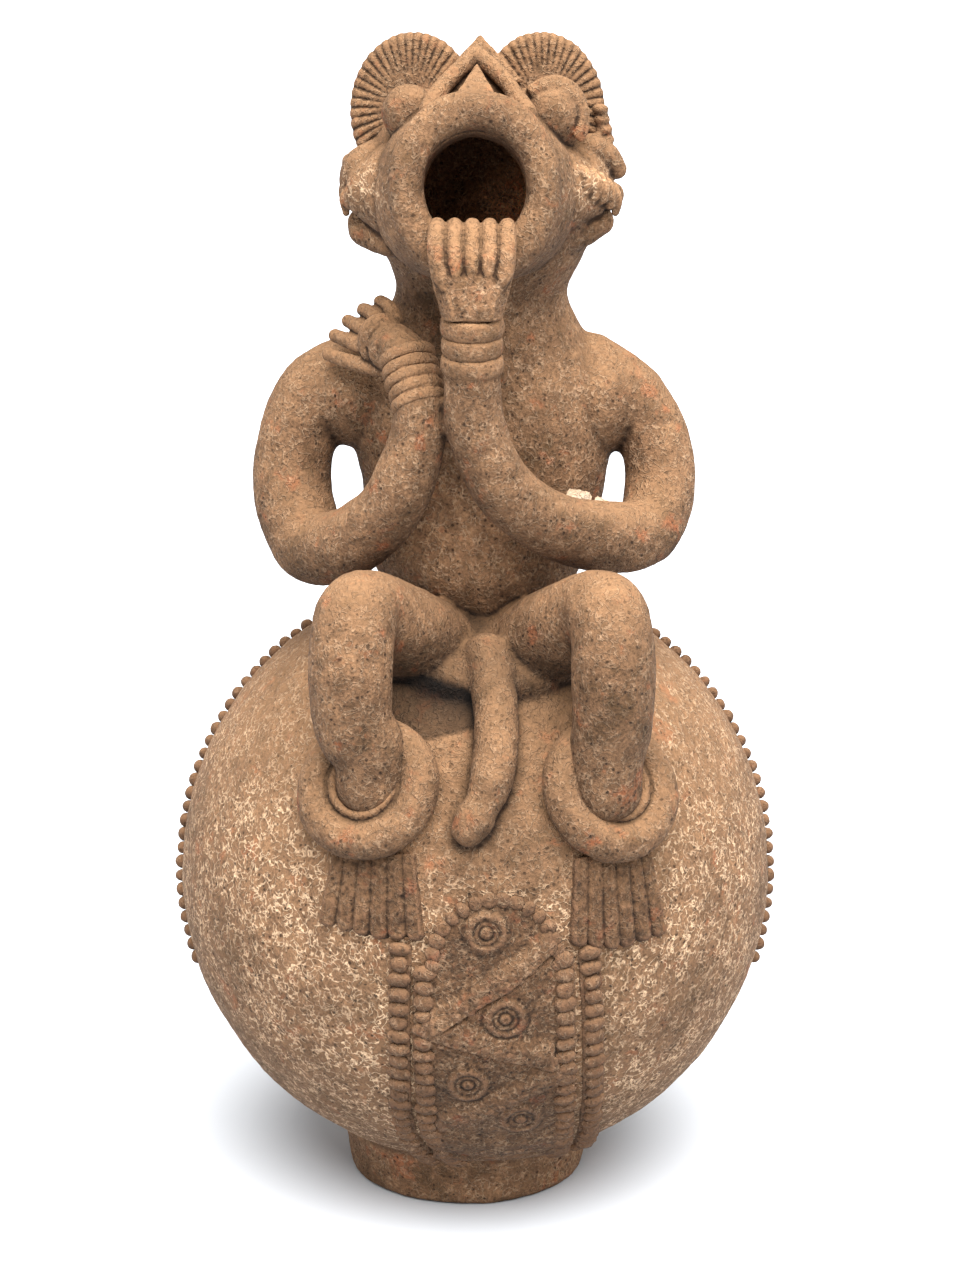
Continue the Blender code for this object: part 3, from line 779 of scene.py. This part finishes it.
def addFan(shape, centre, side):
    # a half-open fan: closely set grooves from the eye out to the rim, plain at the back
    place = facingFrame((side * 0.1, -1.0, 0.25), centre)
    radius = fanSettings["radius"]
    thickness = fanSettings["thickness"]
    rng = random.Random(fanSettings["seed"] + side)
    uneven = fanSettings["uneven"]
    wobble = [rng.uniform(-uneven, uneven) for _ in range(fanSettings["flutes"] + 1)]
    fronts = []
    backs = []
    for i in range(fanSettings["rings"] + 1):
        r = i / fanSettings["rings"]
        strength = min(max((r - fanSettings["plain"]) / 0.2, 0.0), 1.0)
        dome = 0.002 * (1 - r * r) - 0.5 * thickness * max(r - 0.9, 0.0) ** 2 / 0.01
        back = 0.5 * thickness * max(r - 0.85, 0.0) ** 2 / 0.0225 - thickness
        front = []
        behind = []
        for a in turns(fanSettings["spokes"]):
            flute = a / math.tau * fanSettings["flutes"]
            shift = 0.25 * wobble[int(flute)] * math.sin(math.pi * (flute % 1))
            groove = abs(math.sin(math.pi * (flute + shift)))
            rim = 1.0 - 0.012 * (1 - groove) * strength
            out = Vector((math.cos(a) * radius, math.sin(a) * radius * fanSettings["oval"], 0.0)) * r * rim
            # the grooves are shallower towards the top and the bottom
            depth = fanSettings["depth"] * (min(groove * 1.35, 1.0) ** 0.7 - 1.0) * strength
            depth *= 0.55 + 0.45 * abs(math.cos(a))
            front.append(place @ (out + Vector((0.0, 0.0, dome + depth + 0.002))))
            behind.append(place @ (out + Vector((0.0, 0.0, back))))
        fronts.append(front)
        backs.append(behind)
    skinRings(shape, fronts[1:] + backs[:0:-4])


def addFans(shape):
    for side, x in fanSettings["middles"]:
        addFan(shape, Vector((x, -0.016, fanSettings["height"])), side)


claim(model("earFans", fanSettings, addFans, opened=True), bodyClay)
print("head modelled")

# hands
handSettings = {
    "grain": 0.0009,
    "relax": 4,
    "lumps": ((0.01, 0.0009), (0.0035, 0.0005)),
    "fingers": 5,
    "fingerPitch": 0.01,
    "restingFingers": (
        ((-0.048, -0.06, 0.53), (-0.068, -0.048, 0.531), (-0.0875, -0.028, 0.5335)),
        ((-0.056, -0.054, 0.54), (-0.071, -0.041, 0.5425), (-0.0835, -0.024, 0.544)),
        ((-0.056, -0.052, 0.547), (-0.0665, -0.039, 0.551), (-0.0755, -0.024, 0.5525)),
        ((-0.053, -0.05, 0.553), (-0.0595, -0.038, 0.5585), (-0.0665, -0.026, 0.56)),
        ((-0.047, -0.048, 0.558), (-0.051, -0.039, 0.5635), (-0.056, -0.03, 0.5655)),
    ),
}


def addRaisedHand(shape):
    # a broad flat back of the hand under the chin, five fingers side by side hooked over the lip
    middle = -0.0015
    outline = ((0.0172, -0.1258, 0.5715), (0.018, -0.1268, 0.58), (0.0235, -0.1245, 0.596),
               (0.024, -0.119, 0.612))
    addWedge(shape, [(middle + side * (x - inset), y if inset else y + 0.007, z)
                     for x, y, z in outline for side in (-1, 1) for inset in (0.0, 0.006)]
             + [(middle + side * x, -0.098, z) for x, y, z in outline for side in (-1, 1)])
    last = handSettings["fingers"] - 1
    for k in range(handSettings["fingers"]):
        spread = (k - last / 2) * handSettings["fingerPitch"]
        x = spread + middle
        # the outer fingers start lower and nearer the middle
        inward, root, bend = (0.64, 0.587, 0.6) if k in (0, last) else (0.9, 0.596, 0.605)
        addLimb(shape, (
            (spread * inward + middle, -0.1216, root, 0.0034),
            (spread * 0.92 + middle, -0.12, bend, 0.0055),
            (x, -0.1165, 0.613, 0.0056), (x, -0.1105, 0.6203, 0.0053), (x, -0.101, 0.6226, 0.0046),
        ), sides=16)


def addRestingHand(shape):
    addLimb(shape, ((-0.0385, -0.074, 0.537, 0.0146), (-0.044, -0.064, 0.543, 0.0138),
                    (-0.05, -0.055, 0.546, 0.012)), sides=20)
    addBlob(shape, (-0.0545, -0.051, 0.546), (0.015, 0.01, 0.0165))
    addBlob(shape, (-0.048, -0.058, 0.543), (0.015, 0.012, 0.015))
    for root, knuckle, tip in handSettings["restingFingers"]:
        addLimb(shape, ((*root, 0.005), (*knuckle, 0.0048), (*tip, 0.0042)), sides=14)


for name, form in (("raisedHand", addRaisedHand), ("restingHand", addRestingHand)):
    claim(model(name, handSettings, form), bodyClay, reach=4)
print("hands modelled")


# rows of pellets, beads and rings, laid along a path by geometry nodes
def socketName(tree, name):
    # the identifier that a modifier's input is set by
    return next(item.identifier for item in tree.interface.items_tree if item.name == name)


def rowTree(name, shapeKind):
    tree = bpy.data.node_groups.new(name, "GeometryNodeTree")
    face = tree.interface
    sizes = ("Pitch", "Along", "Across", "Height", "Thickness", "Uneven", "Worn")
    inputs = [("Geometry", "Geometry"), *((label, "Float") for label in sizes), ("Centre", "Vector"),
              ("Seed", "Int"), ("Clay", "Material")]
    for label, kind in inputs:
        face.new_socket(label, in_out="INPUT", socket_type=f"NodeSocket{kind}")
    face.new_socket("Geometry", in_out="OUTPUT", socket_type="NodeSocketGeometry")
    given = addNode(tree, "NodeGroupInput").outputs

    def vector(operation, sockets):
        return addOutput(tree, "ShaderNodeVectorMath", sockets, operation=operation)

    def aligned(axis, sockets, pivot="AUTO"):
        return addOutput(tree, "FunctionNodeAlignRotationToVector", sockets, axis=axis, pivot_axis=pivot)

    curve = addOutput(tree, "GeometryNodeMeshToCurve", {0: given["Geometry"]})
    curve = addOutput(tree, "GeometryNodeResampleCurve", {"Curve": curve, "Length": given["Pitch"]},
                      mode="LENGTH")
    tangent = addOutput(tree, "GeometryNodeInputTangent")
    if shapeKind == "ring":
        rounds = ({"Resolution": 56, "Radius": 1.0}, {"Resolution": 12, "Radius": given["Thickness"]})
        circle, roll = [addOutput(tree, "GeometryNodeCurvePrimitiveCircle", sockets) for sockets in rounds]
        unit = addOutput(tree, "GeometryNodeCurveToMesh", {"Curve": circle, "Profile Curve": roll})
        turn = aligned("Z", {"Vector": tangent})
    else:
        unit = addOutput(tree, "GeometryNodeMeshUVSphere", {"Segments": 12, "Rings": 7, "Radius": 1.0})
        where = addOutput(tree, "GeometryNodeInputPosition")
        outward = vector("SUBTRACT", {0: where, 1: given["Centre"]})
        turn = aligned("X", {"Rotation": aligned("Z", {"Vector": outward}), "Vector": tangent}, "Z")
    size = {axis: given[label] for axis, label in enumerate(("Along", "Across", "Height"))}
    size = addOutput(tree, "ShaderNodeCombineXYZ", size)
    # each unit is a little larger or smaller than the given size
    spread = addNode(tree, "FunctionNodeRandomValue", {"Seed": given["Seed"]}, data_type="FLOAT_VECTOR")
    for socket, operation in ((0, "SUBTRACT"), (1, "ADD")):
        limit = addOutput(tree, "ShaderNodeMath", {0: 1.0, 1: given["Uneven"]}, operation=operation)
        tree.links.new(limit, spread.inputs[socket])
    size = vector("MULTIPLY", {0: size, 1: spread.outputs[0]})
    laid = addOutput(tree, "GeometryNodeInstanceOnPoints",
                     {"Points": curve, "Instance": unit, "Rotation": turn, "Scale": size})
    laid = addOutput(tree, "GeometryNodeRealizeInstances", {0: laid})
    wear = addNode(tree, "ShaderNodeTexNoise", {"Scale": 220.0, "Detail": 2.0}).outputs["Color"]
    wear = vector("SCALE", {0: vector("SUBTRACT", {0: wear, 1: (0.5, 0.5, 0.5)}), "Scale": given["Worn"]})
    laid = addOutput(tree, "GeometryNodeSetPosition", {"Geometry": laid, "Offset": wear})
    laid = addOutput(tree, "GeometryNodeSetShadeSmooth", {0: laid})
    laid = addOutput(tree, "GeometryNodeSetMaterial", {"Geometry": laid, "Material": given["Clay"]})
    addNode(tree, "NodeGroupOutput", {"Geometry": laid})
    return tree


def layRow(name, tree, paths, settings, clay, speckle=None):
    # one guide mesh of all the paths, then the tree, then a plain mesh
    points = []
    edges = []
    for path in paths:
        edges += [(len(points) + k, len(points) + k + 1) for k in range(len(path) - 1)]
        points += [tuple(point) for point in path]
    mesh = bpy.data.meshes.new(name)
    mesh.from_pydata(points, edges, [])
    made = linkObject(name, mesh)
    modifier = made.modifiers.new("row", "NODES")
    modifier.node_group = tree
    for key, value in settings.items():
        modifier[socketName(tree, key)] = value
    modifier[socketName(tree, "Clay")] = clay
    settle(made)
    claim(made, clay, 1, speckle)


pelletTree = rowTree("pelletsAlongPath", "pellet")
ringTree = rowTree("ringsAlongPath", "ring")

bangles = {
    "raisedBangles": {"from": (-0.0015, -0.1064, 0.5435), "to": (-0.0015, -0.1085, 0.566), "count": 3,
                      "radius": 0.016, "thickness": 0.15, "tall": 0.0058},
    "restingBangles": {"from": (-0.0322, -0.0875, 0.5165), "to": (-0.0395, -0.072, 0.54), "count": 5,
                       "radius": 0.015, "thickness": 0.14, "tall": 0.0036},
}
for name, band in bangles.items():
    low = Vector(band["from"])
    high = Vector(band["to"])
    layRow(name, ringTree, [[low, high]], {
        "Pitch": (high - low).length / (band["count"] - 0.6), "Along": band["radius"],
        "Across": band["radius"], "Height": band["tall"] / band["thickness"],
        "Thickness": band["thickness"], "Uneven": 0.03, "Worn": 0.0014, "Seed": 3,
    }, bodyClay)
print("bangles laid")


def potPath(places, lift=0.0, steps=10):
    return [onPot(row[0], row[1], lift) for row in smoothPath([(x, z, 0.0) for x, z in places], steps)]


sideBeads = {"Pitch": 0.0086, "Along": 0.0042, "Across": 0.0045, "Height": 0.0042, "Uneven": 0.14,
             "Worn": 0.0012, "Seed": 5, "Centre": pot["centre"]}
beadSettings = {"top": 0.16, "drop": 0.215, "slant": 0.32, "back": 0.001, "lift": 0.0006, "points": 60}


def sidePath(side):
    # down one side of the pot, leaning back towards the top
    path = []
    for k in range(beadSettings["points"]):
        up = beadSettings["top"] - beadSettings["drop"] * k / (beadSettings["points"] - 1)
        back = beadSettings["slant"] * up + beadSettings["back"]
        out = math.sqrt((pot["radius"] + beadSettings["lift"]) ** 2 - up ** 2 - back ** 2)
        path.append(Vector((side * out, back, pot["centre"].z + up)))
    return path


beadPaths = [sidePath(side) for side in (-1, 1)]
layRow("sideBeads", pelletTree, beadPaths, sideBeads, reliefClay, 0.12)

strips = {"Pitch": 0.0092, "Along": 0.0049, "Across": 0.0066, "Height": 0.0036, "Uneven": 0.16,
          "Worn": 0.0026, "Seed": 8, "Centre": pot["centre"]}
# (x, z) down the middle of each strip
stripLines = (
    ((-0.043, 0.213), (-0.044, 0.18), (-0.0443, 0.14), (-0.044, 0.095), (-0.04, 0.071), (-0.031, 0.047),
     (-0.027, 0.04)),
    ((-0.029, 0.199), (-0.03, 0.155), (-0.029, 0.125), (-0.0281, 0.091), (-0.022, 0.068), (-0.016, 0.05),
     (-0.012, 0.04)),
    ((0.0513, 0.2055), (0.0522, 0.18), (0.0528, 0.145), (0.0533, 0.105), (0.0533, 0.075), (0.0515, 0.047),
     (0.05, 0.04)),
    ((0.0662, 0.208), (0.0686, 0.178), (0.0698, 0.142), (0.0706, 0.101), (0.0689, 0.069), (0.067, 0.044),
     (0.064, 0.039)),
)
stripPaths = [potPath(line, 0.0022) for line in stripLines]
layRow("strips", pelletTree, stripPaths, strips, reliefClay, 0.22)
print("beads and strips laid")

# the arched panel on the pot's front
panelSettings = {
    "grain": 0,
    "relax": 0,
    "lumps": ((0.01, 0.001), (0.0035, 0.0009)),
    "centre": 0.012,
    "halfWidth": 0.04,
    "top": 0.247,
    "foot": 0.042,
    "left": -0.054,
    "right": 0.08,
    "barWidth": 0.0072,
    "step": 0.0008,
    "plate": 0.0016,
    "flap": 0.0034,
    "sunk": 0.003,
    "rolls": {"Pitch": 0.008, "Along": 0.0046, "Across": 0.0046, "Height": 0.0022, "Uneven": 0.22,
              "Worn": 0.0026, "Seed": 12, "Centre": pot["centre"]},
}
# (x, z) of the ringed bosses and of the edges of the lapped sheets
bossPlaces = ((0.0066, 0.2237), (0.0178, 0.1705), (-0.0041, 0.1239), (0.0269, 0.094))
flapEdges = (((0.043, 0.209), (0.0204, 0.1891), (0.0053, 0.1802), (-0.011, 0.1685), (-0.0262, 0.1605)),
             ((-0.0257, 0.1561), (0.0156, 0.1426), (0.044, 0.134)),
             ((0.056, 0.1269), (0.0362, 0.1159), (0.0131, 0.101), (-0.02, 0.085)),
             ((-0.02, 0.064), (0.014, 0.058), (0.05, 0.062)))


def panelHeight(x, z):
    # lapped sheets of clay, each ending in a crisp edge over the next, with ringed bosses on them
    half = panelSettings["halfWidth"]
    arch = panelSettings["top"] - half
    rise = np.hypot(x - panelSettings["centre"], np.maximum(z - arch, 0.0))
    inside = 1 - softStep(rise, half - 0.0035, half - 0.0005)
    height = panelSettings["plate"] * inside
    for edge in flapEdges:
        places = sorted(edge)
        across, heights = zip(*places)
        above = z - np.interp(x, across, heights)
        lap = softStep(above, -0.0004, 0.0006) * (1 - softStep(above, 0.009, 0.022))
        inRange = softStep(x, across[0] - 0.004, across[0])
        inRange = inRange * (1 - softStep(x, across[-1], across[-1] + 0.004))
        height = height + panelSettings["flap"] * lap * inRange
        height = height - 0.0012 * np.exp(-((above + 0.0012) / 0.0009) ** 2) * inRange
    # the sheet sags into a lip over the foot
    height = height + 0.0034 * np.exp(-((z - 0.0535) / 0.004) ** 2)
    for bossX, bossZ in bossPlaces:
        far = np.hypot(x - bossX, z - bossZ)
        clear = softStep(far, 0.012, 0.0145)
        height = height * clear + 0.002 * (1 - clear)
        height += 0.002 * np.exp(-((far - 0.0098) / 0.0024) ** 2)
        height += 0.0008 * np.exp(-((far - 0.0058) / 0.0011) ** 2)
        height += 0.002 * (1 - softStep(far, 0.0018, 0.0042))
    sunk = panelSettings["sunk"]
    height = height * inside - sunk * (1 - inside)
    # a low bar under each strip
    for line in stripLines:
        across, heights = zip(*line[::-1])
        middle = np.interp(z, heights, across)
        bar = 1 - softStep(abs(x - middle), panelSettings["barWidth"] - 0.0012, panelSettings["barWidth"])
        bar = bar * (1 - softStep(z, heights[-1] + 0.002, heights[-1] + 0.004))
        height = np.maximum(height, panelSettings["plate"] * bar - sunk * (1 - bar))
    return height


def makePanel():
    columns = np.arange(panelSettings["left"], panelSettings["right"], panelSettings["step"])
    rows = np.arange(panelSettings["foot"], panelSettings["top"] + 0.001, panelSettings["step"])
    x, z = np.meshgrid(columns, rows)
    lift = panelHeight(x, z)
    edgeFade = softStep(z, panelSettings["foot"], panelSettings["foot"] + 0.002)
    lift = lift * edgeFade - 0.004 * (1 - edgeFade)
    centre = np.array(pot["centre"])
    up = z - centre[2]
    out = np.stack([x, -np.sqrt(pot["radius"] ** 2 - x ** 2 - up ** 2), up], axis=-1)
    points = (centre + out * (1 + lift[..., None] / pot["radius"])).reshape(-1, 3)
    wide = len(columns)
    faces = [(r * wide + c, r * wide + c + 1, (r + 1) * wide + c + 1, (r + 1) * wide + c)
             for r in range(len(rows) - 1) for c in range(wide - 1)]
    mesh = bpy.data.meshes.new("panel")
    mesh.from_pydata([tuple(p) for p in points], [], faces)
    made = linkObject("panel", mesh)
    fuseClay(made, panelSettings)
    claim(settle(made), reliefClay, 2, 0.2)


makePanel()
arch = panelSettings["top"] - panelSettings["halfWidth"]
border = [(panelSettings["centre"] - 0.037 * math.cos(a), arch - 0.004 + 0.0395 * math.sin(a))
          for a in (math.pi * k / 12 for k in range(13))]
rollPaths = [potPath(border, 0.0018, 4)]
rollPaths += [potPath([(x, z + 0.0052) for x, z in edge], 0.0032) for edge in flapEdges]
layRow("panelRolls", pelletTree, rollPaths, panelSettings["rolls"], reliefClay, 0.2)
print("panel modelled")

# anklets and feet
footSettings = {
    "grain": 0,
    "relax": 0,
    "lumps": ((0.01, 0.0016), (0.0035, 0.001)),
    "toes": 6,
    "plate": 0.005,
    "groove": 0.0026,
    # each foot as its upper edge, then its lower edge, from left to right
    "spreads": ((((-0.083, 0.262), (-0.06, 0.266), (-0.0337, 0.2665)),
                 ((-0.0915, 0.221), (-0.062, 0.217), (-0.0283, 0.218))),
                (((0.057, 0.262), (0.08, 0.264), (0.104, 0.256)),
                 ((0.0541, 0.2135), (0.083, 0.206), (0.1125, 0.21)))),
}


def alongEdge(edge, u):
    return np.array([np.interp(u, (0.0, 0.5, 1.0), [point[axis] for point in edge]) for axis in (0, 1)])


def addFoot(shape, upper, lower, rows=40, columns=96):
    # a flat plate lying on the pot, scored into toes that end in a crisp round edge
    sections = []
    for row in range(rows + 1):
        v = row / rows
        section = []
        for column in range(columns + 1):
            u = column / columns
            toe = abs(math.sin(math.pi * footSettings["toes"] * (u ** 1.05)))
            score = 1 - min(toe * 1.35, 1.0) ** 0.6
            reach = v * (1.0 - 0.07 * (1 - toe) ** 1.5)
            x, z = alongEdge(upper, u) * (1 - reach) + alongEdge(lower, u) * reach
            side = min(min(u, 1 - u) / 0.03, 1.0) ** 0.5
            end = min((1 - v) / 0.05, 1.0) ** 0.5
            lift = footSettings["plate"] * (0.62 + 0.38 * v) * side * end
            lift -= footSettings["groove"] * score * end * (0.45 + 0.55 * v)
            section.append(onPot(x, z, max(lift, -0.002)))
        for u in (column / columns for column in range(columns, -1, -6)):
            x, z = alongEdge(upper, u) * (1 - v) + alongEdge(lower, u) * v
            section.append(onPot(x, z, -0.004))
        sections.append(section)
    skinRings(shape, sections)


def addFeet(shape):
    for upper, lower in footSettings["spreads"]:
        addFoot(shape, upper, lower)


claim(model("feet", footSettings, addFeet), reliefClay, 2, 0.1)

ankletSettings = {
    "grain": 0.0013,
    "relax": 1,
    "lumps": ((0.032, 0.0022), (0.01, 0.0009), (0.0035, 0.0004)),
    "radius": 0.0318,
    "roll": 0.0117,
    # lift off the pot, radius and roll of the thin rings round each shin
    "cuffs": ((0.0105, 0.0194, 0.0034), (0.0138, 0.019, 0.0025)),
}


def addAnklets(shape):
    for _, _, ankle, low in ankles:
        place = potFrame(ankle, low, 0.006)
        addRing(shape, place, ankletSettings["radius"], ankletSettings["roll"], around=96)
        for lift, radius, roll in ankletSettings["cuffs"]:
            addRing(shape, potFrame(ankle, low + 0.0005, lift), radius, roll)


claim(model("anklets", ankletSettings, addAnklets), bodyClay, reach=4)
print("anklets and feet modelled")

# scales of pale lime caught behind the forearm
bpy.data.objects.remove(hollow, do_unlink=True)
flakeSettings = {
    "grain": 0.0006,
    "relax": 1,
    "lumps": ((0.0035, 0.0022),),
    "scales": (
        ((0.0535, -0.06, 0.4535), (0.056, -0.05, 0.4565), (0.0655, -0.059, 0.4555),
         (0.069, -0.048, 0.4535), (0.061, -0.066, 0.45), (0.07, -0.056, 0.448),
         (0.057, -0.056, 0.445)),
        ((0.069, -0.061, 0.45), (0.073, -0.05, 0.452), (0.08, -0.059, 0.4475),
         (0.084, -0.048, 0.445), (0.076, -0.052, 0.44), (0.072, -0.062, 0.444)),
    ),
}


def addScales(shape):
    for corners in flakeSettings["scales"]:
        addWedge(shape, corners)


claim(model("limeFlake", flakeSettings, addScales), flakeClay, reach=1)
print("flake laid")

# floor, light and camera
stageSettings = {
    "floorSize": 24.0,
    "floorColour": "#dadde1",
    "sunStrength": 8.0,
    "sunAngle": math.radians(60),
    "sunTurn": (math.radians(26), math.radians(6), 0.0),
    "skyStrength": 0.6,
}
bpy.ops.mesh.primitive_plane_add(size=stageSettings["floorSize"])
floor = bpy.context.object
floor.name = "floor"
paper = bpy.data.materials.new("paperFloor")
paper.use_nodes = True
paperInputs = paper.node_tree.nodes["Principled BSDF"].inputs
paperInputs["Base Color"].default_value = linearColour(stageSettings["floorColour"])
paperInputs["Roughness"].default_value = 1.0
paperInputs["Specular IOR Level"].default_value = 0.0
floor.data.materials.append(paper)
floor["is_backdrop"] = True

sun = linkObject("softSun", bpy.data.lights.new("softSun", "SUN"))
sun.data.energy = stageSettings["sunStrength"]
sun.data.angle = stageSettings["sunAngle"]
sun.rotation_euler = stageSettings["sunTurn"]

world = bpy.data.worlds.new("studio")
world.use_nodes = True
sky = world.node_tree.nodes["Background"].inputs
sky["Color"].default_value = (1.0, 1.0, 1.0, 1.0)
sky["Strength"].default_value = stageSettings["skyStrength"]
bpy.context.scene.world = world
bpy.context.scene.view_settings.view_transform = "Standard"

cameraSettings = {
    "place": (0.003, -2.084, 0.9454),
    "tilt": math.radians(74),
    "lens": 98.4375,
    "sensor": 36.0,
}
camera = linkObject("camera", bpy.data.cameras.new("camera"))
camera.data.sensor_width = cameraSettings["sensor"]
camera.data.lens = cameraSettings["lens"]
camera.location = cameraSettings["place"]
camera.rotation_euler = (cameraSettings["tilt"], 0.0, 0.0)
bpy.context.scene.camera = camera

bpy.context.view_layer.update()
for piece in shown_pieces():
    piece.data.calc_loop_triangles()
    print(piece.name, len(piece.data.loop_triangles), "triangles")
print("scene ready")
